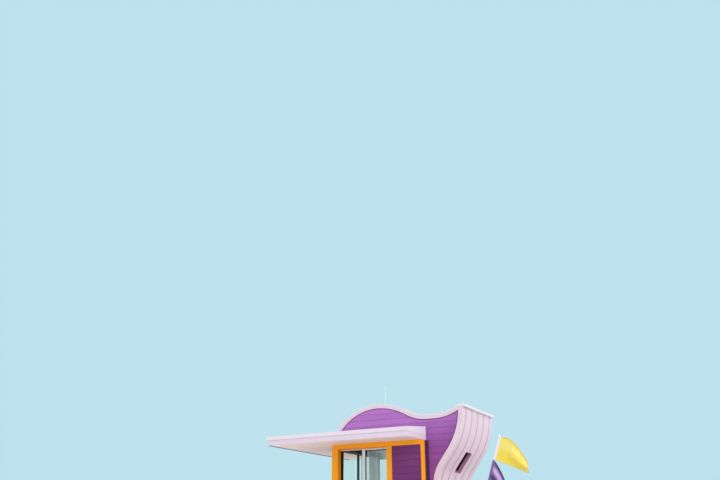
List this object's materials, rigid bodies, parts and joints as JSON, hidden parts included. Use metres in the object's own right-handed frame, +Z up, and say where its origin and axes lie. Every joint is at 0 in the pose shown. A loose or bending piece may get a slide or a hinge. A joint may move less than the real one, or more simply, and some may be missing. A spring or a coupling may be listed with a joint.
{
  "type": "lifeguard tower",
  "caption": "Lifeguard cabin on a raised timber deck, with a wide flat canopy, a wave-shaped roof that runs down into an S-curved rear wall, an access ramp and signal flags.",
  "frame": {"origin": "on the ground, under the middle of the whole tower's box, ramp included", "axes": "+Z up, -Y towards the front of the cabin, +X towards the side with the flag pole"},
  "size_m": [5, 13.3806, 6.2198],
  "materials": {
    "wave_skin": "satin pale pink sheet",
    "eave_trim": "satin white-lilac trim",
    "canopy": "satin white-lilac boards",
    "purple_siding": "painted horizontal boards",
    "orange_frame": "painted satin boards",
    "aluminium_frame": "satin",
    "dark_frame": "satin",
    "window_glass": "clear, faintly green",
    "slot_glass": "dark tinted",
    "decking": "weathered boards",
    "timber": "weathered beams",
    "railing_paint": "painted satin",
    "floor_sheet": "plywood",
    "white_pole": "gloss white",
    "clamp_steel": "brushed",
    "yellow_cloth": "woven nylon",
    "purple_cloth": "woven nylon"
  },
  "bodies": {
    "root": {"wave_roof": "wave_skin", "rear_eave": "eave_trim", "rear_wall": "wave_skin", "slot_frame": "purple_siding", "slot_glass": "slot_glass", "gable_walls": "purple_siding", "near_rear_side_wall": "purple_siding", "far_rear_side_wall": "purple_siding", "canopy_slab": "canopy", "canopy_roofing": "canopy", "cabin_floor": "floor_sheet", "near_bay_posts": "orange_frame", "near_bay_header": "orange_frame", "near_siding_panel": "purple_siding", "far_posts": "orange_frame", "far_header": "orange_frame", "far_door": "purple_siding", "sill_walls": "purple_siding", "window_sills": "orange_frame", "side_window_frames": "aluminium_frame", "side_window_glass": "window_glass", "front_header": "orange_frame", "front_wall": "purple_siding", "front_window_frame": "dark_frame", "front_window_glass": "window_glass", "deck_boards": "decking", "deck_joists": "timber", "deck_girders": "timber", "near_legs": "timber", "middle_legs": "timber", "far_legs": "timber", "side_braces": "timber", "end_braces": "timber", "near_railing": "railing_paint", "far_railing": "railing_paint", "front_railing": "railing_paint", "rear_railing": "railing_paint", "ramp_boards": "decking", "ramp_stringers": "timber", "ramp_legs": "timber", "ramp_railings": "railing_paint", "flag_pole": "white_pole", "pole_bracket": "clamp_steel", "yellow_flag": "yellow_cloth", "purple_flag": "purple_cloth", "roof_aerial": "white_pole"}
  },
  "joints": []
}
